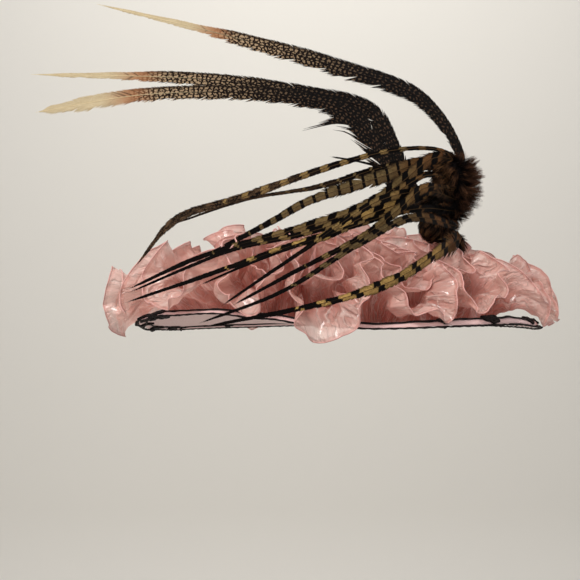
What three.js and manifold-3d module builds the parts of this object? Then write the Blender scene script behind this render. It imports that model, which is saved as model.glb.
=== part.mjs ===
// A wide-brim dress hat: a thin round brim edged with lace, heaped with
// gathered organza ruffles round and over the crown, and a tuft at the
// front right that carries three long tail plumes and a spray of barred feathers.
//
// Units are millimetres. The origin is the centre of the head opening at the
// brim. +Z is up, +X is the wearer's left, and the front of the hat faces -Y.
// Angles round the hat are in degrees from +X towards +Y, the back.

import * as THREE from 'three';
import { mergeVertices } from 'three/addons/utils/BufferGeometryUtils.js';
import Module from 'manifold-3d';

const wasm = await Module();
wasm.setup();

// Driving dimensions.
const GAP = 0.4;                    // air left between neighbouring pieces
const HEAD = { x: 81, y: 99 };      // half widths of the head opening, a 57 cm head
const CROWN = { height: 94, wall: 2, flat: 62, steps: 24 };
const BRIM = { x: 256, y: 254, thickness: 2, steps: 60, bend: 1.4 };
const EDGE = { radius: 1.7, sides: 4 };
const LACE = { inset: 9, width: 2.6, height: 1.4, motifs: 6, first: 309, along: 10.4, across: 6.4, petal: 6 };
const RUFFLE = { wall: 1.5, rows: 3, round: 1.5, flare: 0.7, sway: 2.6, swell: 4, slit: 0.6 };
const FOLD_STEPS = [0.12, 0.27, 0.5, 0.73, 0.88, 1];    // where a fold is measured, from lobe to lobe
const FEATHER = { wall: 1.3, steps: 11, rootX: 132, bow: 70 };
const PLUME = { wall: 2, steps: 17 };
const TUFT = { x: 142, y: -108, lock: 7.5 };
const STEM = { radius: 3.5, top: 98 };

// How far the brim's edge is lifted at each angle round the hat.
const EDGE_LIFTS = [
  { angle: 0, lift: -1 },
  { angle: 60, lift: -6 },
  { angle: 90, lift: -10 },
  { angle: 122, lift: -12 },
  { angle: 150, lift: -12 },
  { angle: 168, lift: -9 },
  { angle: 184, lift: 0 },
  { angle: 200, lift: 9 },
  { angle: 218, lift: 17 },
  { angle: 236, lift: 20 },
  { angle: 250, lift: 15 },
  { angle: 262, lift: 9 },
  { angle: 276, lift: 6 },
  { angle: 300, lift: 10 },
  { angle: 316, lift: 11 },
  { angle: 336, lift: 6 },
];

// The folds of the gathered strips, one row for each fold that falls outwards.
// lobe is its angle and fall the slope of its hem. cloth is the strip's width
// there, and crest the slope of the standing fold that follows it.
const FOLDS = [
  { lobe: 0, fall: -50, cloth: 100, crest: 50 },
  { lobe: 22, fall: -20, cloth: 96, crest: 62 },
  { lobe: 44, fall: -35, cloth: 96, crest: 70 },
  { lobe: 66, fall: -25, cloth: 92, crest: 75 },
  { lobe: 89, fall: -30, cloth: 96, crest: 75 },
  { lobe: 112, fall: -76, cloth: 122, crest: 70 },
  { lobe: 134, fall: -30, cloth: 100, crest: 62 },
  { lobe: 156, fall: -62, cloth: 112, crest: 34 },
  { lobe: 180, fall: -78, cloth: 120, crest: 30 },
  { lobe: 203, fall: -34, cloth: 96, crest: 56 },
  { lobe: 224, fall: -36, cloth: 82, crest: 82 },
  { lobe: 241, fall: -38, cloth: 84, crest: 88 },
  { lobe: 260, fall: -80, cloth: 104, crest: 84 },
  { lobe: 287, fall: -48, cloth: 72, crest: 84 },
  { lobe: 305, fall: -35, cloth: 72, crest: 92 },
  { lobe: 339, fall: -64, cloth: 84, crest: 62 },
];

// The tiers of ruffles that stand on the brim, from the outside in. root is
// the circle where a tier is gathered, and strips the lengths it is cut in.
// rise, easeFall, raiseFall and raiseCrest say how much steeper its folds are than
// the table's, and the width of its cloth stays between least and most.
const TIERS = [
  {
    name: 'outer_ruffle', root: 200, strips: 6,
    rise: 52, easeFall: 1, raiseFall: 0, raiseCrest: 0, least: 70, most: 122,
  },
  {
    name: 'middle_ruffle', root: 159, strips: 5,
    rise: 64, easeFall: 0.35, raiseFall: 14, raiseCrest: 34, least: 84, most: 97,
  },
  {
    name: 'inner_ruffle', root: 120, strips: 5,
    rise: 84, easeFall: 0.1, raiseFall: 46, raiseCrest: 46, least: 100, most: 122,
  },
];
const STEEPEST = 97;

// The ruffles gathered on top of the crown.
const CROWN_TIERS = [
  { name: 'crown_ruffle', root: 46, strips: 2, lobes: 8, rise: 62, fall: -16, crest: 32, cloth: 46 },
  { name: 'crown_rosette', root: 16, strips: 1, lobes: 5, rise: 80, fall: 20, crest: 70, cloth: 28 },
];

// Feathers stand on edge, each on an upright bowed surface of its own. forward is
// how far that surface comes towards the front to the left of the tuft, and route
// holds a feather's x and z from root to tip. width is its widest place and
// outline its shape. The first row is the rearmost.
const BARRED_DEPTH = { first: -97, step: -2.6 };
const BARRED = [
  {
    forward: 58, width: 10, outline: 'long',
    route: [[142, 200], [111, 208], [60, 203], [-15, 182], [-118, 145], [-190, 121], [-237, 67]],
  },
  {
    forward: 63, width: 9, outline: 'slim',
    route: [[138, 183], [66, 186], [-29, 158], [-110, 143], [-193, 115]],
  },
  {
    forward: 69, width: 6, outline: 'slim',
    route: [[137, 178], [66, 177], [13, 187], [-16, 191]],
  },
  {
    forward: 97, width: 18, outline: 'slim',
    route: [[138, 187], [94, 187], [39, 166], [-40, 138], [-83, 114], [-165, 71]],
  },
  {
    forward: 112, width: 16, outline: 'slim',
    route: [[136, 196], [101, 191], [61, 159], [28, 136], [-7, 120], [-50, 107], [-156, 76], [-234, 41]],
  },
  {
    forward: 126, width: 11, outline: 'waisted',
    route: [[137, 172], [88, 168], [36, 134], [-8, 113], [-51, 99], [-120, 83], [-229, 38]],
  },
  {
    forward: 151, width: 14, outline: 'slim',
    route: [[137, 148], [82, 145], [56, 133], [17, 118], [-19, 99], [-65, 84], [-150, 54], [-227, 28]],
  },
  {
    forward: 156, width: 8, outline: 'slim',
    route: [[137, 134], [69, 127], [-20, 98], [-100, 68], [-153, 45]],
  },
  {
    forward: 165, width: 11, outline: 'slim',
    route: [[136, 147], [87, 148], [27, 131], [-50, 79], [-129, 25]],
  },
  {
    forward: 174, width: 13, outline: 'waisted',
    route: [[136, 160], [79, 148], [53, 126], [15, 97], [-60, 57], [-117, 26]],
  },
  {
    forward: 186, width: 11, outline: 'slim',
    route: [[137, 115], [59, 114], [-2, 81], [-70, 39], [-148, 9]],
  },
  {
    forward: 216, width: 13, outline: 'slim',
    route: [[141, 104], [95, 80], [39, 50], [-20, 31], [-140, 7]],
  },
];
const PLUMES = [
  {
    name: 'tail_plume_high', depth: -93, forward: -45, width: 23,
    route: [[148, 174], [142, 211], [98, 277], [0, 320], [-156, 366], [-305, 402]],
    outline: [[0, 0.45], [0.12, 0.7], [0.25, 0.95], [0.45, 1], [0.62, 0.78], [0.76, 0.4], [0.9, 0.2], [1, 0]],
  },
  {
    name: 'tail_plume_middle', depth: -86, forward: -45, width: 24,
    route: [[137, 116], [92, 165], [65, 226], [39, 266], [-48, 291], [-175, 309], [-390, 315]],
    outline: [[0, 0.5], [0.15, 0.8], [0.27, 1], [0.5, 0.85], [0.68, 0.7], [0.8, 0.42], [0.9, 0.25], [1, 0]],
  },
  {
    name: 'tail_plume_low', depth: -89.5, forward: -45, width: 26,
    route: [[136, 110], [81, 159], [46, 222], [10, 265], [-80, 287], [-238, 289], [-383, 266]],
    outline: [[0, 0.5], [0.15, 0.9], [0.27, 1], [0.5, 0.75], [0.7, 0.7], [0.86, 0.72], [0.94, 0.45], [1, 0]],
  },
];

// Width along each kind of barred feather, as a share of its widest place.
const BARRED_OUTLINES = {
  slim: [[0, 0.6], [0.1, 0.9], [0.22, 1], [0.42, 0.8], [0.6, 0.5], [0.8, 0.32], [0.93, 0.2], [1, 0]],
  waisted: [[0, 0.3], [0.15, 0.4], [0.26, 1], [0.42, 0.8], [0.6, 0.5], [0.8, 0.32], [0.93, 0.2], [1, 0]],
  long: [[0, 0.5], [0.2, 0.55], [0.45, 0.8], [0.6, 1], [0.82, 0.9], [0.92, 0.4], [1, 0]],
};

const group = new THREE.Group();

// The finish of each kind of cloth and feather.
const FINISH = {
  felt: { color: 0xd9a09a, roughness: 0.8, metalness: 0 },
  organza: { color: 0xdd9c95, roughness: 0.45, metalness: 0 },
  lace: { color: 0x1c1210, roughness: 0.7, metalness: 0 },
  plume: { color: 0x3a2a22, roughness: 0.6, metalness: 0 },
  barred: { color: 0x8c7440, roughness: 0.6, metalness: 0 },
  fluff: { color: 0x2a1913, roughness: 0.9, metalness: 0 },
};

function add(name, finish, geometry) {
  const mesh = new THREE.Mesh(geometry, new THREE.MeshStandardMaterial(FINISH[finish]));
  mesh.name = name;
  group.add(mesh);
  return mesh;
}

// Small sums used throughout.
const radians = (degrees) => THREE.MathUtils.degToRad(degrees);
const mix = THREE.MathUtils.lerp;
const ease = (t) => (1 - Math.cos(Math.PI * t)) / 2;
const oval = (half, angle) => 1 / Math.hypot(
  Math.cos(radians(angle)) / half.x, Math.sin(radians(angle)) / half.y);
const onCircle = (radius, angle, z) => new THREE.Vector3(
  radius * Math.cos(radians(angle)), radius * Math.sin(radians(angle)), z);

// The rows of a table on either side of an angle, and the share of the way between.
function rowsAround(table, column, angle) {
  const count = table.length;
  const turn = THREE.MathUtils.euclideanModulo(angle - table[0][column], 360) + table[0][column];
  const next = table.findIndex((row) => row[column] > turn);
  const last = (next < 0 ? count : next) - 1;
  const start = table[last][column];
  const end = last + 1 < count ? table[last + 1][column] : table[0][column] + 360;
  return { row: table[last], after: table[(last + 1) % count], share: (turn - start) / (end - start) };
}

// A value along an outline of [place, value] pairs.
function along(outline, t) {
  const next = Math.max(1, outline.findIndex(([place]) => place >= t));
  const [from, low] = outline[next - 1];
  const [to, high] = outline[next];
  return mix(low, high, ease((t - from) / (to - from)));
}

// A closed mesh from points and faces, turned so that its faces point out.
function closedMesh(points, faces) {
  let volume = 0;
  for (const [a, b, c] of faces) {
    volume += points[a].dot(points[b].clone().cross(points[c]));
  }
  const geometry = new THREE.BufferGeometry();
  geometry.setAttribute('position', new THREE.Float32BufferAttribute(points.flatMap((p) => p.toArray()), 3));
  geometry.setIndex(faces.flatMap(([a, b, c]) => (volume > 0 ? [a, b, c] : [a, c, b])));
  return geometry;
}

// Joins matching rings of points by a skin. Open rows of rings are capped. The
// two halves of a ring are the two faces of a wall, and their diagonals match.
function skin(rings, closed) {
  const size = rings[0].length;
  const faces = [];
  const spans = closed ? rings.length : rings.length - 1;
  for (let i = 0; i < spans; i += 1) {
    for (let j = 0; j < size; j += 1) {
      const a = i * size + j;
      const b = i * size + ((j + 1) % size);
      const c = ((i + 1) % rings.length) * size + ((j + 1) % size);
      const d = ((i + 1) % rings.length) * size + j;
      faces.push(...(j < size / 2 ? [[a, b, c], [a, c, d]] : [[a, b, d], [b, c, d]]));
    }
  }
  if (!closed) {
    const end = (rings.length - 1) * size;
    for (let j = 1; j < size / 2; j += 1) {
      const k = size - j;
      const steps = k - 1 > j ? [[j, j - 1, k], [j, k, k - 1]] : [[j, j - 1, k]];
      for (const [a, b, c] of steps) {
        faces.push([a % size, b % size, c % size], [end + (a % size), end + (c % size), end + (b % size)]);
      }
    }
  }
  return closedMesh(rings.flat(), faces);
}

// Solids for cuts and joins.
function toSolid(geometry) {
  const bare = geometry.clone();
  bare.deleteAttribute('normal');
  bare.deleteAttribute('uv');
  const merged = mergeVertices(bare, 1e-4);
  return new wasm.Manifold(new wasm.Mesh({
    numProp: 3,
    vertProperties: new Float32Array(merged.attributes.position.array),
    triVerts: new Uint32Array(merged.index.array),
  }));
}

function toGeometry(solid) {
  const mesh = solid.getMesh();
  const geometry = new THREE.BufferGeometry();
  geometry.setAttribute('position', new THREE.BufferAttribute(mesh.vertProperties, 3));
  geometry.setIndex(new THREE.BufferAttribute(mesh.triVerts, 1));
  return geometry;
}

// Brim: a thin disc whose edge rises and falls.
const brimReach = (angle) => oval(BRIM, angle);

function brimHeight(radius, angle) {
  const { row, after, share } = rowsAround(EDGE_LIFTS, 'angle', angle);
  const lift = mix(row.lift, after.lift, ease(share));
  const inner = oval(HEAD, angle);
  return lift * Math.max(0, (radius - inner) / (brimReach(angle) - inner)) ** BRIM.bend;
}

function brim() {
  const shares = [0, 0.4, 0.75, 1];
  const rings = [];
  for (let i = 0; i < BRIM.steps; i += 1) {
    const angle = (360 * i) / BRIM.steps;
    const radii = shares.map((share) => mix(oval(HEAD, angle), brimReach(angle), share));
    const top = radii.map((r) => onCircle(r, angle, brimHeight(r, angle) + BRIM.thickness / 2));
    const under = radii.map((r) => onCircle(r, angle, brimHeight(r, angle) - BRIM.thickness / 2));
    rings.push([...top, ...under.reverse()]);
  }
  return skin(rings, true);
}
add('brim', 'felt', brim());

// Crown: a plain oval dome, open below, standing on the brim round the head opening.
function crown() {
  const outer = HEAD.y + CROWN.wall;
  const foot = BRIM.thickness / 2 + GAP;
  const { height, wall, flat } = CROWN;
  const outside = [
    [0, height], [flat, height], [outer - 20, height - 5], [outer - 8, height - 15],
    [outer - 2, height - 32], [outer, height - 52], [outer, foot],
  ];
  const inside = [
    [HEAD.y, foot], [HEAD.y, height - 52], [HEAD.y - 2, height - 33], [HEAD.y - 8, height - 17],
    [HEAD.y - 20, height - 7.5], [flat, height - wall], [0, height - wall],
  ];
  const profile = [...outside, ...inside].reverse().map(([r, z]) => new THREE.Vector2(r, z));
  const dome = new THREE.LatheGeometry(profile, CROWN.steps);
  dome.rotateX(Math.PI / 2);
  dome.scale((HEAD.x + CROWN.wall) / outer, 1, 1);
  return toGeometry(toSolid(dome));
}
add('crown', 'felt', crown());

// Corded edge: a picot braid sewn round the brim's rim.
function edgeBraid() {
  const rings = [];
  for (let i = 0; i < BRIM.steps; i += 1) {
    const angle = (360 * i) / BRIM.steps;
    const middle = brimReach(angle) + EDGE.radius + GAP;
    const height = brimHeight(brimReach(angle), angle);
    const ring = [];
    for (let j = 0; j < EDGE.sides; j += 1) {
      const turn = (360 * j) / EDGE.sides;
      const reach = middle + EDGE.radius * Math.cos(radians(turn));
      ring.push(onCircle(reach, angle, height + EDGE.radius * Math.sin(radians(turn))));
    }
    rings.push(ring);
  }
  return skin(rings, true);
}
add('edge_braid', 'lace', edgeBraid());

// Lace: a line of cord with motifs along it, on each face of the brim.
function laceLine(side) {
  const base = BRIM.thickness / 2 + 2 * GAP;
  const place = (inset, angle, above) => {
    const radius = brimReach(angle) - inset;
    return onCircle(radius, angle, brimHeight(radius, angle) + side * (base + above));
  };
  const rings = [];
  for (let i = 0; i < BRIM.steps; i += 1) {
    const angle = (360 * i) / BRIM.steps;
    const near = LACE.inset - LACE.width / 2;
    const far = LACE.inset + LACE.width / 2;
    rings.push([place(near, angle, 0), place(far, angle, 0), place(LACE.inset, angle, LACE.height)]);
  }
  let line = toSolid(skin(rings, true));
  for (let i = 0; i < LACE.motifs; i += 1) {
    const centre = LACE.first + (360 * i) / LACE.motifs;
    const outline = [];
    for (let j = 0; j < LACE.petal; j += 1) {
      const turn = radians((360 * (j + 0.5)) / LACE.petal);
      const inset = LACE.inset + LACE.across * Math.sin(turn);
      const angle = centre + THREE.MathUtils.radToDeg((LACE.along * Math.cos(turn)) / BRIM.x);
      outline.push([inset, angle]);
    }
    const low = outline.map(([inset, angle]) => place(inset, angle, 0.1));
    const high = outline.map(([inset, angle]) => place(inset, angle, LACE.height + 0.3));
    line = line.add(toSolid(skin([low, high], false)));
  }
  return toGeometry(line);
}
add('lace_top', 'lace', laceLine(1));
add('lace_under', 'lace', laceLine(-1));

// Ruffles: a gathered strip is a wall whose section is an arc that starts at the
// root and ends at the hem. Round the hat it swings between standing and falling.
function sectionPoint(section, v) {
  const start = radians(section.start);
  const turn = radians(section.end) - start;
  const slope = start + turn * v;
  return {
    radius: section.root + (section.cloth * (Math.sin(slope) - Math.sin(start))) / turn,
    height: section.foot + (section.cloth * (Math.cos(start) - Math.cos(slope))) / turn,
  };
}

// 1 at a lobe, 0 at a crest, with both broad and round.
function foldShare(turns) {
  const wave = Math.cos(2 * Math.PI * turns);
  return 0.5 + (0.5 * Math.tanh(RUFFLE.round * wave)) / Math.tanh(RUFFLE.round);
}

function brimSection(tier, angle) {
  const { row, after, share } = rowsAround(FOLDS, 'lobe', angle);
  const falling = foldShare(share);
  const near = share < 0.5 ? row : after;
  const fall = near.fall * tier.easeFall + tier.raiseFall;
  const crest = Math.min(STEEPEST, row.crest + tier.raiseCrest);
  const stand = Math.min(STEEPEST, crest + 12);
  return {
    root: tier.root,
    foot: brimHeight(tier.root, angle) + BRIM.thickness / 2 + GAP + RUFFLE.wall / 2,
    start: mix(stand + 1, tier.rise, falling),
    end: mix(crest, fall, falling),
    cloth: THREE.MathUtils.clamp(mix(row.cloth, after.cloth, ease(share)), tier.least, tier.most),
  };
}

function crownSection(tier, angle) {
  const falling = foldShare((angle / 360) * tier.lobes);
  return {
    root: tier.root,
    foot: CROWN.height + GAP + RUFFLE.wall / 2,
    start: mix(tier.crest + 13, tier.rise, falling),
    end: mix(tier.crest, tier.fall, falling),
    cloth: tier.cloth * (1 + 0.08 * Math.sin(radians(3 * angle))),
  };
}

// Towards the hems the lobes flare out sideways and the crests close up, and the
// heap as a whole leans and swells a little, all the same for every tier.
function flared(radius, angle, height) {
  const { row, after, share } = rowsAround(FOLDS, 'lobe', angle);
  const spacing = THREE.MathUtils.euclideanModulo(after.lobe - row.lobe, 360);
  const reach = Math.hypot(Math.max(0, radius - TIERS[2].root), height);
  const open = THREE.MathUtils.smoothstep(reach, 30, 140);
  const flare = (RUFFLE.flare * open * spacing * Math.sin(2 * Math.PI * share)) / (2 * Math.PI);
  const high = THREE.MathUtils.smoothstep(height, 12, 80);
  const lean = RUFFLE.sway * high * Math.sin(radians(3 * angle + 114));
  const swell = RUFFLE.swell * high * Math.sin(radians(5 * angle + 100));
  return onCircle(radius + swell, angle + flare + lean, height);
}

// A wall of even thickness on both sides of a grid of points.
function wall(grid, thickness) {
  const columns = grid.length;
  const rows = grid[0].length;
  const at = (i, j) => grid[THREE.MathUtils.clamp(i, 0, columns - 1)][THREE.MathUtils.clamp(j, 0, rows - 1)];
  const rings = grid.map((column, i) => {
    const faces = column.map((point, j) => {
      const offset = new THREE.Vector3();
      for (const [di, dj] of [[1, 1], [-1, 1], [1, -1], [-1, -1]]) {
        const across = at(i + di, j).clone().sub(point).multiplyScalar(di);
        const up = at(i, j + dj).clone().sub(point).multiplyScalar(dj);
        offset.add(across.cross(up).normalize());
      }
      offset.setLength(thickness / 2);
      return [point.clone().add(offset), point.clone().sub(offset)];
    });
    return [...faces.map(([front]) => front), ...faces.map(([, back]) => back).reverse()];
  });
  return skin(rings, false);
}

function ruffleStrip(tier, section, angles) {
  const slit = THREE.MathUtils.radToDeg((RUFFLE.slit + RUFFLE.wall) / (2 * (1 - RUFFLE.flare) * tier.root));
  const grid = angles.map((angle, i) => {
    const inset = (i === 0 ? slit : 0) - (i === angles.length - 1 ? slit : 0);
    const column = [];
    for (let j = 0; j <= RUFFLE.rows; j += 1) {
      const { radius, height } = sectionPoint(section(tier, angle + inset), j / RUFFLE.rows);
      column.push(flared(radius, angle + inset, height));
    }
    return column;
  });
  return wall(grid, RUFFLE.wall);
}

// Each strip takes its share of the folds, and starts and ends on a crest.
function addRuffle(tier, section, lobes) {
  const angles = lobes.flatMap((lobe, i) => {
    const next = i + 1 < lobes.length ? lobes[i + 1] : lobes[0] + 360;
    return FOLD_STEPS.map((step) => mix(lobe, next, step));
  });
  const crest = FOLD_STEPS.indexOf(0.5);
  const at = (i) => angles[i % angles.length] + 360 * Math.floor(i / angles.length);
  for (let strip = 0; strip < tier.strips; strip += 1) {
    const [first, last] = [strip, strip + 1].map(
      (end) => crest + FOLD_STEPS.length * Math.round((end * lobes.length) / tier.strips));
    const cuts = Array.from({ length: last - first + 1 }, (_, i) => at(first + i));
    add(`${tier.name}_${strip + 1}`, 'organza', ruffleStrip(tier, section, cuts));
  }
}

for (const tier of TIERS) {
  addRuffle(tier, brimSection, FOLDS.map(({ lobe }) => lobe));
}
for (const tier of CROWN_TIERS) {
  addRuffle(tier, crownSection, Array.from({ length: tier.lobes }, (_, i) => (360 * i) / tier.lobes));
}

// Feathers: a flat blade with a raised shaft, along a smooth route in its plane.
function blade(feather, outline, thickness, steps, grow = 0) {
  const bowed = (x) => {
    const away = Math.exp(Math.min(0, x - FEATHER.rootX) / FEATHER.bow);
    return feather.depth - feather.forward * (1 - away);
  };
  const place = ([x, z]) => new THREE.Vector3(x, bowed(x), z);
  const route = new THREE.CatmullRomCurve3(feather.route.map(place), false, 'centripetal');
  const rings = [];
  for (let i = 0; i < steps; i += 1) {
    const t = i / steps;
    const centre = route.getPointAt(t);
    const tangent = route.getTangentAt(t);
    const facing = new THREE.Vector3(tangent.y, -tangent.x, 0).setLength(tangent.x > 0 ? 1 : -1);
    const side = tangent.clone().cross(facing).normalize();
    const half = (feather.width * along(outline, t)) / 2 + grow;
    const ridge = (thickness / 2) * (1 - 0.5 * t) + grow;
    rings.push([[half, 0], [0, ridge], [-half, 0], [0, -ridge]].map(
      ([across, out]) => centre.clone().addScaledVector(side, across).addScaledVector(facing, out)));
  }
  const tip = route.getPointAt(1);
  const last = rings.length * 4 - 4;
  const faces = [[0, 1, 2], [0, 2, 3]];
  for (let i = 0; i < rings.length - 1; i += 1) {
    for (let j = 0; j < 4; j += 1) {
      const a = i * 4 + j;
      const b = i * 4 + ((j + 1) % 4);
      faces.push([a, b + 4, b], [a, a + 4, b + 4]);
    }
  }
  for (let j = 0; j < 4; j += 1) {
    faces.push([last + j, last + 4, last + ((j + 1) % 4)]);
  }
  return closedMesh([...rings.flat(), tip], faces);
}

const sockets = [];
BARRED.forEach((row, index) => {
  const feather = { ...row, depth: BARRED_DEPTH.first + BARRED_DEPTH.step * index };
  const outline = BARRED_OUTLINES[row.outline];
  add(`barred_feather_${index + 1}`, 'barred', blade(feather, outline, FEATHER.wall, FEATHER.steps));
  sockets.push(toSolid(blade(feather, outline, FEATHER.wall, FEATHER.steps, GAP)));
});
for (const plume of PLUMES) {
  add(plume.name, 'plume', blade(plume, plume.outline, PLUME.wall, PLUME.steps));
  sockets.push(toSolid(blade(plume, plume.outline, PLUME.wall, PLUME.steps, GAP)));
}

// Quill stem: the bound quills under the tuft, standing on the brim between two tiers.
function quillStem(grow = 0) {
  const radius = Math.hypot(TUFT.x, TUFT.y);
  const turn = THREE.MathUtils.radToDeg(Math.atan2(TUFT.y, TUFT.x));
  const foot = brimHeight(radius, turn) + BRIM.thickness / 2 + GAP;
  const height = STEM.top - foot;
  const stem = new THREE.CylinderGeometry(STEM.radius + grow, STEM.radius + grow, height + 2 * grow, 8);
  stem.rotateX(Math.PI / 2);
  stem.translate(TUFT.x, TUFT.y, foot + height / 2);
  return toSolid(stem);
}

// Tuft: two heads of fluff, one above the other, with locks fused all over the
// outer side. The feathers' quills go into it.
function lock(base, direction, length, width) {
  const cone = new THREE.ConeGeometry(width, length, 4);
  cone.translate(0, length / 2, 0);
  cone.applyQuaternion(new THREE.Quaternion().setFromUnitVectors(new THREE.Vector3(0, 1, 0), direction));
  cone.translate(base.x, base.y, base.z);
  return toSolid(cone);
}

function head({ x, z, halfWidth, halfDepth, halfHeight }) {
  const ball = new THREE.SphereGeometry(1, 10, 7);
  ball.rotateX(Math.PI / 2);
  ball.scale(halfWidth, halfDepth, halfHeight);
  ball.translate(x, TUFT.y, z);
  return toSolid(ball);
}

function tuft() {
  const upper = { x: 132, z: 166, halfWidth: 25, halfDepth: 23, halfHeight: 37 };
  const lower = { x: 124, z: 118, halfWidth: 27, halfDepth: 24, halfHeight: 25 };
  let fluff = head(upper).add(head(lower));
  const whorls = [
    { z: 186, spread: 50, slope: 36, count: 3, length: 32 },
    { z: 172, spread: 60, slope: 12, count: 4, length: 34 },
    { z: 156, spread: 50, slope: -14, count: 3, length: 31 },
    { z: 114, spread: 60, slope: -16, count: 4, length: 25 },
  ];
  for (const whorl of whorls) {
    for (let i = 0; i < whorl.count; i += 1) {
      const turn = mix(-whorl.spread, whorl.spread, i / (whorl.count - 1));
      const out = onCircle(Math.cos(radians(whorl.slope)), turn, Math.sin(radians(whorl.slope)));
      const base = new THREE.Vector3(TUFT.x, TUFT.y, whorl.z);
      fluff = fluff.add(lock(base, out, whorl.length, TUFT.lock));
    }
  }
  for (const socket of [...sockets, quillStem(GAP)]) {
    fluff = fluff.subtract(socket);
  }
  return toGeometry(fluff);
}
add('feather_tuft', 'fluff', tuft());

add('quill_stem', 'plume', toGeometry(quillStem()));

export default group;
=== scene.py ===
# %% [markdown]
# # A wide-brim dress hat
# The hat is a thin round brim heaped with gathered organza, with black lace at its edge and
# a tuft of feathers in front on the wearer's left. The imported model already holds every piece
# at its real size. Here each piece gets its real surface: cloth with folds and rolled hems, feathers
# made of barbs, and lace made of thread.
#
# Lengths in the tables are in millimetres, as a milliner would write them, and the one
# helper that makes a mesh turns them into metres. Angles run round the hat in degrees from
# the wearer's left towards the back.

import math

import bpy
import numpy as np
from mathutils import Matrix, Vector


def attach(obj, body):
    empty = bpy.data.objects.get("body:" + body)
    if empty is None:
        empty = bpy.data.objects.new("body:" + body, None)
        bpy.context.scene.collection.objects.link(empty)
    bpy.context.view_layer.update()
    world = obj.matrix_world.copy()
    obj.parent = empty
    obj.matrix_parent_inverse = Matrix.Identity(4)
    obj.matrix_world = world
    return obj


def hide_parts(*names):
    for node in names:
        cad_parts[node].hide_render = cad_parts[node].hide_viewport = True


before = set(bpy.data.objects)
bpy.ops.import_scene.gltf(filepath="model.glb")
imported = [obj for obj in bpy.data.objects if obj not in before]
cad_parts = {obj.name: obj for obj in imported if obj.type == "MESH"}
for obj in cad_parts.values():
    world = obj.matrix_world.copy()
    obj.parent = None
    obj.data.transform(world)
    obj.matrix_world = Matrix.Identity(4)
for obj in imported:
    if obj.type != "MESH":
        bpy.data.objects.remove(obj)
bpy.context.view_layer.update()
MM = 0.001
print("nodes in the frame:", len(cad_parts))

# %% [markdown]
# ## Camera
# The photograph was taken level with the brim, a little over a metre in front of it. A lens
# of 52 mm on a full-frame sensor gives the same perspective, and the picture is square.

# %% Place the camera
PICTURE = 580                      # pixels along each side
FOCAL = 833.3                      # the focal length, in those pixels
SENSOR = 36.0
EYE = (-0.061, -1.1, 0.041)

camera = bpy.data.objects.new("camera", bpy.data.cameras.new("camera"))
camera.data.sensor_width = SENSOR
camera.data.lens = SENSOR * FOCAL / PICTURE
camera.data.clip_end = 20
camera.location = EYE
camera.rotation_euler = (math.radians(90), 0, 0)
bpy.context.scene.collection.objects.link(camera)
bpy.context.scene.camera = camera
print("lens in mm:", round(camera.data.lens, 1))

# %% [markdown]
# ## Small helpers for shapes
# Cloth and feathers are easiest to work out as whole arrays of points, one row for each
# line of the weave or barb, and then to skin with four-sided faces. These helpers do the
# sums for that: smooth steps, random hills that are the same on every run, and skins.

# %% Sums on arrays
def mix(low, high, share):
    return low + (high - low) * share


def ease(t):
    return (1 - np.cos(np.pi * t)) / 2


def step(value, low, high):
    t = np.clip((value - low) / (high - low), 0, 1)
    return t * t * (3 - 2 * t)


def unit(vectors):
    return vectors / np.maximum(np.linalg.norm(vectors, axis=-1, keepdims=True), 1e-9)


def by_column(table):
    """The columns of a table of numbers, each as an array."""
    return [np.array(column, float) for column in zip(*table)]


TILE = 64         # random heights along each side of the table that hills repeats
FOLD_SETS = 6


def hills(x, y, seed):
    """Smooth random values from -1 to 1 over a plane, one hill to a unit."""
    table = np.random.default_rng(seed).uniform(-1, 1, (TILE, TILE))
    left, low = np.floor(x).astype(int), np.floor(y).astype(int)
    across, up = step(x - left, 0, 1), step(y - low, 0, 1)

    def corner(i, j):
        return table[(left + i) % TILE, (low + j) % TILE]

    return mix(mix(corner(0, 0), corner(1, 0), across), mix(corner(0, 1), corner(1, 1), across), up)


def facets(x, y, seed):
    """Flat facets with sharp creases between them, as crisp cloth takes, from a few sets of folds."""
    rng = np.random.default_rng(seed)
    height = 0
    for k in range(FOLD_SETS):
        turn, length, start = rng.uniform(0, np.pi), rng.uniform(0.7, 1.9), rng.uniform()
        across = (x * np.cos(turn) + y * np.sin(turn)) / length + start
        across = across + 0.4 * hills(x / 2.1 + k, y / 2.1, seed + k)
        wave = 2 * np.abs(across - np.floor(across + 0.5)) - 0.5
        height = height + wave * length * step(hills(x / 1.6 + 3 * k, y / 1.6, seed + 20 + k), -0.4, 0.3)
    return height


def along_outline(outline, t):
    """A value along an outline of (place, value) pairs, eased between them."""
    places, values = by_column(outline)
    after = np.clip(np.searchsorted(places, t), 1, len(places) - 1)
    share = np.clip((t - places[after - 1]) / (places[after] - places[after - 1]), 0, 1)
    return mix(values[after - 1], values[after], ease(share))


def lengths_along(line):
    """How far along a line each of its points lies."""
    return np.concatenate([[0], np.cumsum(np.linalg.norm(np.diff(line, axis=0), axis=1))])


# %% Skins and tubes
UP = np.array([0, 0, 1.0])


def grid_faces(rows, columns, closed=False, wrapped=False):
    """Four-sided faces over a grid of points stored row by row, which may join up either way."""
    row = np.arange(rows if closed else rows - 1)[:, None]
    column = np.arange(columns if wrapped else columns - 1)[None, :]
    after, beside = (row + 1) % rows, (column + 1) % columns
    corners = [row * columns + column, row * columns + beside,
               after * columns + beside, after * columns + column]
    return np.stack(np.broadcast_arrays(*corners), -1).reshape(-1, 4)


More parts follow.
